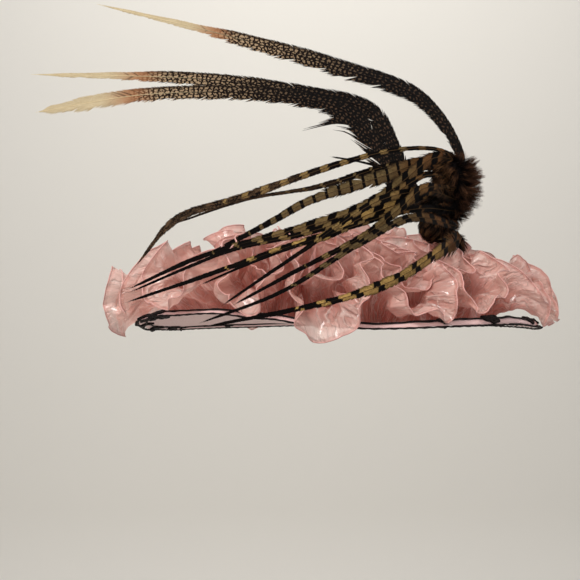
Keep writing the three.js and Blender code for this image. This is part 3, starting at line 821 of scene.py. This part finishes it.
def barbs(shaft, outline, half_width, side, rng, pitch=1.0, slant=26.0, ragged=0.1, clump=14,
          reach_more=None, lean=0.0, shift=0.0, downy=0.0, loose=0.0):
    """One vane of a feather, as ribbons, loose over its downy start. Returns points, faces and marks."""
    count = int(shaft.length * 0.985 / pitch)
    start = (np.arange(count) + rng.uniform(-0.3, 0.3, count)) * pitch + 0.01 * shaft.length
    share = start / shaft.length
    tuft = rng.uniform(-1, 1, count // clump + 2)[np.arange(count) // clump]
    uneven = 1 + ragged * (0.6 * tuft + rng.uniform(-1, 0.6, count))
    reach = half_width * along_outline(outline, share) * uneven
    if reach_more is not None:
        reach = reach * (1 + reach_more(share))
    fluffy = step(start, loose + 12, loose - 6)
    reach = reach * (1 + 0.7 * fluffy * rng.uniform(0, 1, count))
    angle = np.radians(slant + 4 * tuft + rng.uniform(-1.5, 1.5, count) * (1 + 8 * fluffy))
    t = np.linspace(0, 1, BARB_STEPS + 1)[None, :]
    run = start[:, None] + reach[:, None] / np.tan(angle)[:, None] * (t + 0.35 * t ** 2) / 1.35
    centre, _, sideways, facing = shaft.at(run)
    lift = (rng.uniform(-0.5, 0.5, count) * (1 + 6 * fluffy))[:, None] * t + 0.15
    lines = centre + sideways * (side * reach[:, None] * t)[..., None] + facing * lift[..., None]
    flats = unit(np.cross(facing, np.gradient(lines, axis=1)))
    widths = pitch * 1.7 * (1 - t ** 4 * 0.9) * np.ones((count, 1))
    points, faces = ribbons(lines, widths, flats)
    out_of_one = np.clip(run / shaft.length, 0, 1)
    half = np.maximum(half_width * along_outline(outline, out_of_one), 1)
    across = side * reach[:, None] * t
    barred_at = np.interp(run, shaft.places, shaft.shown) + lean * across + shift - downy
    place = np.stack([barred_at, across, out_of_one], -1)
    edge = np.stack(np.broadcast_arrays(side * t, rng.random((count, 1)), reach[:, None] * t / half), -1)
    return points, faces, spread(place), spread(edge)


def quill(shaft, thick, rows=90, sides=5):
    """The shaft itself, tapering to the tip."""
    share, none = np.linspace(0, 1, rows), np.zeros(rows)
    centre, _, _, facing = shaft.at(share * shaft.length)
    points, faces = tube(centre + facing * 0.25, facing, thick * (1 - 0.85 * share), sides)
    place = np.stack([share * shaft.length, none, share], -1)
    edge = np.stack([none, none + 0.5, none - 1], -1)
    return points, faces, np.repeat(place, sides, 0), np.repeat(edge, sides, 0)


def make_feather(name, parts, finish_used, slot, node, tone, brown=0.0):
    points, faces = together([part[:2] for part in parts])
    vane, edge = (np.concatenate([part[k] for part in parts]) for k in (2, 3))
    tones = np.broadcast_to(np.array(tone, float), (len(points), 3))
    return make_piece(name, points, faces, finish_used, slot, [node], vane=vane, edge=edge, tone=tones,
                      brown=np.full(len(points), brown))


# %% What the feathers' finishes share
def start_feather(name, slow, fine):
    """A feather's finish to start from, with its marks and with streaks along the barbs."""
    made, tree, shader = finish(name, Roughness=0.6, Specular_IOR_Level=0.06)
    vane, edge, tone = (parts_of(tree, mark(tree, part)) for part in ("vane", "edge", "tone"))
    streak = noise(tree, stretched(tree, mark(tree, "vane"), slow, fine, 0.0), 1.0, 3.0)
    bump(tree, shader, streak, 0.0004)
    return made, tree, shader, vane, edge, tone, streak


def paint_feather(tree, shader, paint, vane, edge, turns_at, root_tint, tip_tint):
    """Paints the barbs, and the shaft in a tint that turns into another towards the tip."""
    is_quill = sums(tree, "LESS_THAN", edge[2], -0.5)
    quill_tint = blend(tree, between(tree, vane[2], *turns_at), root_tint, tip_tint)
    join(tree, blend(tree, is_quill, paint, quill_tint), shader, "Base Color")


# %% [markdown]
# ### Barred feathers
# They come from the side of a pheasant's tail. The first stretch is loose dark down. That dark
# down also fills the hollow among the roots, where it stands for the shade there as painted shade,
# and low in the tuft it is painted darker still. Then the ground is orange brown and further out
# olive gold, and slanting black bars cross it. Towards the tip the bars run together, so the narrow
# end is black, or streaked brown on the longest.

# %% Finish: barred
barred, tree, shader, vane, edge, tone, streak = start_feather("barred feather", 0.1, 0.8)
GOLD, ORANGE_BROWN, YELLOW = colour(112, 94, 62), colour(128, 84, 48), colour(204, 164, 96)
DULL, SHADED, STREAKED = colour(70, 52, 32), colour(74, 50, 32), colour(58, 42, 26)
BAR, BAR_STREAK = colour(8, 5, 4), colour(84, 64, 46)
DOWN_DARK, DOWN_PALE = colour(9, 6, 5), colour(118, 84, 54)
turns = sums(tree, "DIVIDE", vane[0], tone[0])
turns = sums(tree, "ADD", turns, times(tree, streak, 0.16))
bar = sums(tree, "ABSOLUTE", sums(tree, "SUBTRACT", sums(tree, "FRACT", turns), 0.5))
wide = times(tree, tone[1], 0.5)
wide = sums(tree, "MULTIPLY_ADD", between(tree, vane[2], 0.58, 0.9), 0.4, wide)
between_bars = between(tree, sums(tree, "SUBTRACT", bar, wide), -0.02, 0.02, 1.0, 0.0)
gold = layered(
    tree, ORANGE_BROWN,
    (between(tree, vane[0], 10.0, 70.0), GOLD),
    (times(tree, tone[2], between(tree, vane[2], 0.12, 0.3)), YELLOW),
    (times(tree, edge[1], 0.4), DULL),
    (between(tree, edge[0], -0.2, 0.0, 0.35, 0.0), SHADED),
    (between(tree, streak, 0.45, 0.7, 0.0, 0.55), STREAKED),
    # Darker towards the outer edges of the vanes: partly a dark margin of the barbs, partly painted shade in
    # the gaps between the feathers.
    (between(tree, sums(tree, "ABSOLUTE", edge[0]), 0.55, 1.0, 0.0, 0.8), colour(34, 23, 15)),
)
streaked = times(tree, between(tree, streak, 0.4, 0.62), between(tree, vane[2], 0.4, 0.6))
streaked = times(tree, streaked, mark(tree, "brown", "Fac"))
paint = blend(tree, between_bars, gold, blend(tree, streaked, BAR, BAR_STREAK))
height = parts_of(tree, place_on_hat(tree))[2]
# Down over the first stretch of each feather: its own dark and pale, and also painted shade, as this dark
# down fills the shaded hollow among the roots.
down_and_shade = blend(tree, times(tree, edge[1], edge[1]), DOWN_DARK, DOWN_PALE)
# Painted shade: below a height of 135 mm the down turns near black, back to its own tint by 170 mm.
down_and_shade = blend(tree, between(tree, height, 0.135, 0.17), colour(10, 6, 5), down_and_shade)
paint = blend(tree, between(tree, vane[0], -3.0, 4.0), down_and_shade, paint)
paint_feather(tree, shader, paint, vane, edge, (0.5, 0.8), DULL, BAR)

# %% Barred feathers
BARRED_DEPTH = (-97.0, -2.6)       # depth of the first at the root, and the step to each next one
OUTLINES = {
    "slim": ((0, 0.6), (0.1, 0.9), (0.22, 1), (0.42, 0.8), (0.6, 0.5), (0.8, 0.32), (0.93, 0.2), (1, 0)),
    "waisted": ((0, 0.3), (0.15, 0.4), (0.26, 1), (0.42, 0.8), (0.6, 0.5), (0.8, 0.32), (0.93, 0.2), (1, 0)),
    "long": ((0, 0.5), (0.2, 0.55), (0.45, 0.8), (0.6, 1), (0.82, 0.9), (0.92, 0.4), (1, 0)),
    "broad": ((0, 1.3), (0.12, 1.4), (0.3, 1), (0.53, 0.85), (0.66, 0.5), (0.8, 0.35), (0.93, 0.2), (1, 0)),
}
# Each row: how far forward it bows, width, outline, stretches of down and of loose barbs; spacing and
# share of the bars, yellow; shift of one vane's bars, their slant, brown in the black; route of x and z.
BARRED = (
    (58, 10, "long", 4, 6, (24, 0.62, 0.3), (3, 0.8, 1.0),
     [(142, 200), (111, 208), (60, 203), (-15, 182), (-118, 145), (-190, 121), (-237, 67)]),
    (63, 9, "slim", 30, 30, (20, 0.84, 0), (4, 0.6, 0.6),
     [(138, 183), (66, 186), (-29, 158), (-110, 143), (-193, 115)]),
    (69, 6, "slim", 26, 26, (18, 0.9, 0), (2, 0.6, 0),
     [(137, 178), (66, 177), (13, 187), (-16, 191)]),
    (97, 18, "slim", 30, 30, (14.5, 0.24, 0), (0, 0.1, 0),
     [(138, 187), (94, 187), (39, 166), (-40, 138), (-83, 114), (-165, 71)]),
    (112, 16, "slim", 22, 24, (24, 0.42, 0.1), (2, 0.7, 0),
     [(136, 196), (101, 191), (61, 159), (28, 136), (-7, 120), (-50, 107), (-156, 76), (-234, 41)]),
    (126, 11, "waisted", 34, 34, (24, 0.62, 0.2), (4, 0.6, 0),
     [(137, 172), (88, 168), (36, 134), (-8, 113), (-51, 99), (-120, 83), (-229, 38)]),
    (151, 14, "slim", 48, 50, (26, 0.46, 0.8), (3, 0.7, 0),
     [(137, 148), (82, 145), (56, 133), (17, 118), (-19, 99), (-65, 84), (-150, 54), (-227, 28)]),
    (156, 8, "slim", 58, 58, (24, 0.7, 0.2), (6, 0.6, 0),
     [(137, 134), (69, 127), (-20, 98), (-100, 68), (-153, 45)]),
    (165, 11, "slim", 44, 46, (24, 0.56, 0.3), (3, 0.6, 0),
     [(136, 147), (87, 148), (27, 131), (-50, 79), (-129, 25)]),
    (174, 13, "waisted", 36, 38, (22, 0.42, 0.2), (2, 0.6, 0),
     [(136, 160), (79, 148), (53, 126), (15, 97), (-60, 57), (-117, 26)]),
    (186, 11, "slim", 18, 20, (18, 0.42, 0), (2, -0.4, 0),
     [(137, 115), (59, 114), (-2, 81), (-70, 39), (-148, 9)]),
    (216, 13, "broad", 8, 48, (23, 0.34, 1.0), (5, 0.2, 0),
     [(141, 104), (95, 80), (39, 50), (-20, 31), (-140, 7)]),
)

for number, (forward, width, outline, downy, loose, tone, (shift, lean, brown), route) in enumerate(BARRED):
    rng = np.random.default_rng(40 + number)
    shaft = Shaft(route, BARRED_DEPTH[0] + BARRED_DEPTH[1] * number, forward)
    parts = [barbs(shaft, OUTLINES[outline], width / 2, side, rng, slant=24.0, ragged=0.16, lean=lean,
                   shift=shift * (side < 0), downy=downy, loose=loose) for side in (1, -1)]
    parts.append(quill(shaft, 0.5))
    make_feather(f"barred_{number + 1}", parts, barred, "barred_feather", f"barred_feather_{number + 1}",
                 tone, brown)
print("barred feathers:", len(BARRED))

# %% [markdown]
# ### Tail plumes
# Three long tail feathers rise from the tuft and sweep back over the hat. They are close to
# black, with rows of grey-brown flecks like scales. The flecks grow and turn cream towards
# the tips, which are plain tan. Two of them lie over each other at the bend, and the inner vane
# of the lower one is torn into spikes there.

# %% Finish: flecked
flecked, tree, shader, vane, edge, tone, streak = start_feather("flecked plume", 0.08, 1.3)
BLACK, BLACK_BROWN, DARK_STREAK = colour(7, 5, 4), colour(28, 17, 11), colour(60, 44, 32)
FLECK, FLECK_CREAM, RUST = colour(66, 50, 38), colour(176, 150, 118), colour(146, 84, 46)
TAN, TAN_PALE, STRAY = colour(150, 128, 94), colour(206, 192, 160), colour(24, 16, 12)
place = stretched(tree, mark(tree, "vane"), 0.16, 0.29, 0.0)
cells = add_node(tree, "ShaderNodeTexVoronoi", {"Vector": place, "Scale": 1.0, "Randomness": 0.8},
                 feature="DISTANCE_TO_EDGE", voronoi_dimensions="2D")
past_tan = sums(tree, "SUBTRACT", vane[2], tone[0])
to_tip = between(tree, past_tan, -0.4, 0.0)
inner = sums(tree, "MULTIPLY_ADD", to_tip, -0.11, 0.25)
fleck = between(tree, sums(tree, "SUBTRACT", cells.outputs["Distance"], inner), 0.0, 0.07)
shaded = between(tree, times(tree, edge[0], edge[2]), 0.1, 0.7, 1.0, 0.25)
spot = blend(tree, to_tip, FLECK, FLECK_CREAM)
spot = blend(tree, between(tree, streak, 0.35, 0.7, 0.0, 0.5), spot, DARK_STREAK)
ground = blend(tree, to_tip, BLACK, BLACK_BROWN)
rust = between(tree, past_tan, 0.0, 0.09, 0.85, 0.0)
stray = times(tree, sums(tree, "GREATER_THAN", edge[1], 0.86), rust)
tan = layered(tree, TAN, (streak, TAN_PALE), (rust, RUST), (stray, STRAY))
paint = layered(tree, ground, (times(tree, fleck, shaded), spot),
                (between(tree, past_tan, -0.04, 0.04), tan))
paint_feather(tree, shader, paint, vane, edge, (0.6, 0.85), colour(22, 15, 12), colour(222, 204, 162))

# %% Tail plumes
# Each row: name, depth, width, where the tan tip starts, spikes, outline of the width, route of x and z.
PLUMES = (
    ("high", -93, 23, 0.7, (),
     ((0, 0.45), (0.12, 0.7), (0.25, 0.95), (0.45, 1), (0.62, 0.78), (0.76, 0.4), (0.9, 0.2), (1, 0)),
     [(148, 174), (142, 211), (98, 277), (0, 320), (-156, 366), (-305, 402)]),
    ("middle", -86, 24, 0.76, (),
     ((0, 0.5), (0.15, 0.8), (0.27, 1), (0.5, 0.85), (0.68, 0.7), (0.8, 0.42), (0.9, 0.25), (1, 0)),
     [(137, 116), (92, 165), (65, 226), (39, 266), (-48, 291), (-175, 309), (-390, 315)]),
    ("low", -89.5, 26, 0.78, ((0.175, 0.9), (0.2, 1.1), (0.235, 1.3), (0.262, 0.8), (0.3, 2.3), (0.315, 0.9)),
     ((0, 0.5), (0.15, 0.9), (0.27, 1), (0.5, 0.75), (0.7, 0.7), (0.86, 0.72), (0.94, 0.45), (1, 0)),
     [(136, 110), (81, 159), (46, 222), (10, 265), (-80, 287), (-238, 289), (-383, 266)]),
)

for number, (name, depth, width, tan_start, spikes, outline, route) in enumerate(PLUMES):
    rng = np.random.default_rng(70 + number)
    shaft = Shaft(route, depth, -45)

    def longer(share, spikes=spikes):
        more = share * 0
        for middle, extra in spikes:
            more = more + extra * np.exp(-np.abs((share - middle) / 0.006))
        return more

    half = width / 2 * 0.97
    parts = [barbs(shaft, outline, half, 1, rng, ragged=0.06, clump=30),
             barbs(shaft, outline, half, -1, rng, ragged=0.22, clump=12, reach_more=longer),
             quill(shaft, 1.0)]
    make_feather(f"plume_{name}", parts, flecked, "plume_feather", f"tail_plume_{name}", (tan_start, 0, 0))
print("tail plumes:", len(PLUMES))

# %% [markdown]
# ## The tuft
# All the feathers come out of a dense tuft of dark down. Its outer side ends in a fringe of
# reddish-brown hairs, and its inner side is streaked golden brown. A hidden stem of bound
# quills holds it on the brim.

# %% Finish: down
down, tree, shader = finish("down", Roughness=0.65, Specular_IOR_Level=0.06)
hair = parts_of(tree, mark(tree, "hair"))
ROOT, DARK, GOLDEN = colour(7, 4, 4), colour(14, 9, 7), colour(104, 72, 46)
FRINGE, FRINGE_PALE = colour(50, 28, 19), colour(122, 80, 54)
end_tint = blend(tree, hair[2], blend(tree, hair[1], DARK, GOLDEN), blend(tree, hair[1], FRINGE, FRINGE_PALE))
join(tree, blend(tree, between(tree, hair[0], 0.25, 0.9), ROOT, end_tint), shader, "Base Color")

# %% Hairs of the tuft
TUFT = {"x": 142.0, "y": -108.0, "steps": 5}
# Each head of down: middle x and height, half widths in x, y and z, hairs, their length, how far they
# turn red brown on the outer side, and which way they lie there.
HEADS = (
    (132, 166, 21, 20, 32, 8200, 27, 1.0, (0.95, 0, 0.6)),
    (113, 117, 22, 21, 21, 4600, 13, 0.3, (0.5, 0, -0.5)),
    (130, 141, 18, 17, 20, 2400, 15, 0.8, (0.9, 0, 0.2)),
    # The fourth head lies out to the lower left: its dark down fills the hollow among the feather roots and
    # so also stands for that hollow's shade, a painted shade.
    (108, 134, 16, 14, 20, 3200, 20, 0.0, (-0.9, -0.1, -0.4)),
    (122, 172, 12, 14, 26, 2900, 16, 0.2, (-0.6, -0.2, -0.7)),
    (138, 98, 8, 8, 11, 1300, 12, 0.5, (0.1, 0, -0.9)),
)
STEM = {"radius": 3.5, "top": 98.0, "gap": 0.4}
CLUMP = 30        # hairs to a lock
FRONT_LIE = (-0.6, -0.2, -0.75)    # which way the down lies on the inner side


def tuft_hairs():
    """Hairs rooted all over the heads, drawn together in locks that lie to one side."""
    rng = np.random.default_rng(5)
    lines, widths, flats, marks = [], [], [], []
    t = np.linspace(0, 1, TUFT["steps"])[None, :, None]
    for middle, height, half_x, half_y, half_z, count, long, red, lie in HEADS:
        out = unit(rng.normal(size=(count, 3)))
        lock = np.argmax(out @ out[:count // CLUMP].T, axis=1)
        root = np.array([middle, TUFT["y"], height]) + out * np.array([half_x, half_y, half_z]) * 0.86
        outer = step(out[:, 0:1], -0.2, 0.9)
        stray = rng.normal(size=(count, 3)) * 0.2
        sweep = np.array(FRONT_LIE) + stray
        flat = sweep - out * np.sum(sweep * out, 1, keepdims=True)
        way = unit(mix(unit(flat) + out * 0.2, unit(out * 0.6 + np.array(lie) + stray), outer))
        length = long * rng.uniform(0.4, 1.0, (count, 1)) ** 0.8 * mix(0.8, 1.0, outer)
        tip = root + way * length
        gathered = root[lock] + way[lock] * long * rng.uniform(0.7, 1.0, (count // CLUMP, 1))[lock]
        tip = mix(tip, gathered, 0.8 * length / long)
        bend = (out * -0.1 + np.array([0, 0, -0.1])) * length
        lines.append(root[:, None] + (tip - root)[:, None] * t + bend[:, None] * t ** 2)
        widths.append(rng.uniform(0.3, 0.6, (count, 1)) * (1 - 0.88 * t[..., 0] ** 2))
        facing = unit(np.cross(way, out + rng.normal(size=(count, 3)) * 0.4))
        flats.append(np.broadcast_to(facing[:, None], lines[-1].shape))
        tone = (0.6 * rng.random((count // CLUMP, 1))[lock] + 0.4 * rng.random((count, 1))) ** 2
        marks.append(np.stack(np.broadcast_arrays(t[..., 0], tone, outer * red), -1))
    points, faces = ribbons(np.concatenate(lines), np.concatenate(widths), np.concatenate(flats))
    return points, faces, spread(np.concatenate(marks))


def tuft_core():
    """The dense middle of the tuft, as rough balls under the hairs."""
    parts = []
    around = np.arange(32)[:, None] * 2 * np.pi / 32
    up = np.linspace(-np.pi / 2 + 0.02, np.pi / 2 - 0.02, 20)[None, :]
    rough = 0.88 + 0.08 * hills(around * 4, up * 6 + 20, 9)
    for middle, height, half_x, half_y, half_z, *_ in HEADS:
        x = middle + half_x * rough * np.cos(around) * np.cos(up)
        y = TUFT["y"] + half_y * rough * np.sin(around) * np.cos(up)
        z = height + half_z * rough * np.sin(up)
        parts.append((np.stack([x, y, z], -1).reshape(-1, 3), grid_faces(*rough.shape, closed=True)))
    return together(parts)


hair_points, hair_faces, hair_marks = tuft_hairs()
core_points, core_faces = tuft_core()
tuft_points, tuft_faces = together([(hair_points, hair_faces), (core_points, core_faces)])
tuft_marks = np.concatenate([hair_marks, np.zeros((len(core_points), 3))])
tuft = make_piece("down_tuft", tuft_points, tuft_faces, down, "tuft_fluff", ["feather_tuft"], hair=tuft_marks)
print("tuft faces:", len(tuft.data.polygons))


# %% The bound stem
def bound_stem():
    """A round stem from the brim up into the tuft, with the turns of its binding."""
    radius, angle = math.hypot(TUFT["x"], TUFT["y"]), math.degrees(math.atan2(TUFT["y"], TUFT["x"])) % 360
    foot = float(brim_height(radius, np.array([angle]))[0]) + BRIM["thickness"] / 2 + STEM["gap"]
    height = np.linspace(foot, STEM["top"], 60)
    line = np.stack(np.broadcast_arrays(TUFT["x"], TUFT["y"], height), 1)
    thick = STEM["radius"] * (0.94 + 0.05 * np.cos(np.radians(height * 40)))
    return tube(line, np.array([1.0, 0, 0]), thick, sides=16)


points, faces = bound_stem()
bound = np.tile((0.2, 0.4, 0.0), (len(points), 1))
make_piece("quill_binding", points, faces, down, "plume_feather", ["quill_stem"], hair=bound)
print("stem faces:", len(faces))

# %% [markdown]
# ## Stage and light
# A pale floor curves up into a pale wall, both far enough away to look at the hat from
# behind and from below. The key light is large and soft, above the camera on its left. A
# weak one at the height of the hat lights the fronts of the folds, and another fills the
# shadows from the right. A fourth lights the wall alone.

# %% Floor
FLOOR, BEND, WALL_TOP = -1.5, 0.6, 3.4        # heights of the floor and the wall, radius between them
FRONT, WALL_START, HALF_WIDTH = -2.6, 1.9, 4.0
stage_finish, tree, shader = finish("stage", Base_Color=colour(226, 222, 214), Roughness=0.9)
profile = [(FRONT, FLOOR), (WALL_START, FLOOR)]
profile += [(WALL_START + BEND * math.sin(turn), FLOOR + BEND * (1 - math.cos(turn)))
            for turn in np.linspace(0.1, math.pi / 2, 14)]
profile += [(WALL_START + BEND, WALL_TOP)]
corners = [(x, y, z) for y, z in profile for x in (-HALF_WIDTH, HALF_WIDTH)]
mesh = bpy.data.meshes.new("floor")
mesh.from_pydata(corners, [], [(2 * i, 2 * i + 1, 2 * i + 3, 2 * i + 2) for i in range(len(profile) - 1)])
mesh.shade_smooth()
mesh.materials.append(stage_finish)
floor = bpy.data.objects.new("floor", mesh)
bpy.context.scene.collection.objects.link(floor)


# %% Lights
def soft_light(name, place, target, size, power, tint):
    light = bpy.data.objects.new(name, bpy.data.lights.new(name, "AREA"))
    light.data.shape = "RECTANGLE"
    light.data.size, light.data.size_y = size
    light.data.energy = power
    light.data.color = tint
    light.location = place
    light.rotation_euler = (Vector(target) - Vector(place)).to_track_quat("-Z", "Y").to_euler()
    bpy.context.scene.collection.objects.link(light)


soft_light("key", (-0.9, -1.4, 1.6), (0, 0, 0.1), (0.9, 0.7), 52, (1.0, 0.98, 0.95))
soft_light("front", (-0.9, -1.9, 0.35), (0, 0, 0.05), (0.8, 0.8), 5, (1.0, 0.98, 0.96))
soft_light("fill", (1.8, -1.2, 0.8), (0, 0, 0.1), (1.4, 1.4), 10, (1.0, 0.99, 0.97))
soft_light("wall", (0, 0.9, 2.6), (0, 2.6, 0.1), (2.4, 0.6), 35, (1.0, 0.99, 0.97))
world = bpy.data.worlds.new("room")
bpy.context.scene.world = world
world.use_nodes = True
surroundings = world.node_tree.nodes["Background"].inputs
surroundings["Color"].default_value = (0.95, 0.96, 1.0, 1.0)
surroundings["Strength"].default_value = 0.34
bpy.context.scene.view_settings.view_transform = "Standard"
